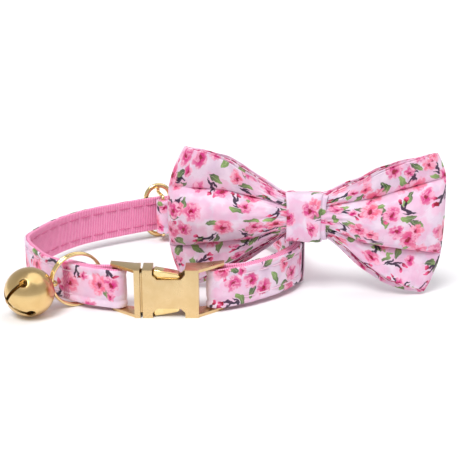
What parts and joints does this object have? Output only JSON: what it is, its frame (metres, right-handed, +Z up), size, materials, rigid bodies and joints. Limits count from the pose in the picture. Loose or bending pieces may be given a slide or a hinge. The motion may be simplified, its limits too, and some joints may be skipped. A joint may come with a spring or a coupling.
{
  "type": "cat bow collar",
  "caption": "Cat collar with a blossom print strap, gold side-release buckle, round bell on a split ring, slide adjuster and a large fabric bow.",
  "frame": {"origin": "on the surface under the middle of the whole collar, which stands on its edge", "axes": "+X from the bell to the bow, +Y from the buckle to the back of the loop, +Z up"},
  "size_m": [0.1075, 0.0698, 0.0371],
  "materials": {
    "webbing": "ribbed polyester webbing",
    "print": "printed cotton",
    "gold": "satin gold plate",
    "bell_gold": "polished pale gold plate",
    "steel": "plain steel",
    "elastic": "white woven elastic"
  },
  "bodies": {
    "collar": {"strap_webbing": "webbing", "strap_cover": "print", "buckle_socket": "gold", "buckle_plug": "gold", "slider": "gold", "split_ring": "gold", "bell_shell": "bell_gold", "bell_pellet": "steel", "bow_wings": "print", "bow_knot": "print", "bow_elastic": "elastic"},
    "upper_lever": {"lever_upper": "gold"},
    "lower_lever": {"lever_lower": "gold"}
  },
  "joints": [
    {"name": "squeeze_upper", "type": "hinge", "parent": "collar", "child": "upper_lever", "pos_m": [-0.0193, -0.02785, 0.0091], "axis": [0, 1, 0], "range_deg": [0, 8], "stiffness_Nm_per_rad": 0.004},
    {"name": "squeeze_lower", "type": "hinge", "parent": "collar", "child": "lower_lever", "pos_m": [-0.0193, -0.02785, 0.003], "axis": [0, -1, 0], "range_deg": [0, 8], "stiffness_Nm_per_rad": 0.004}
  ]
}
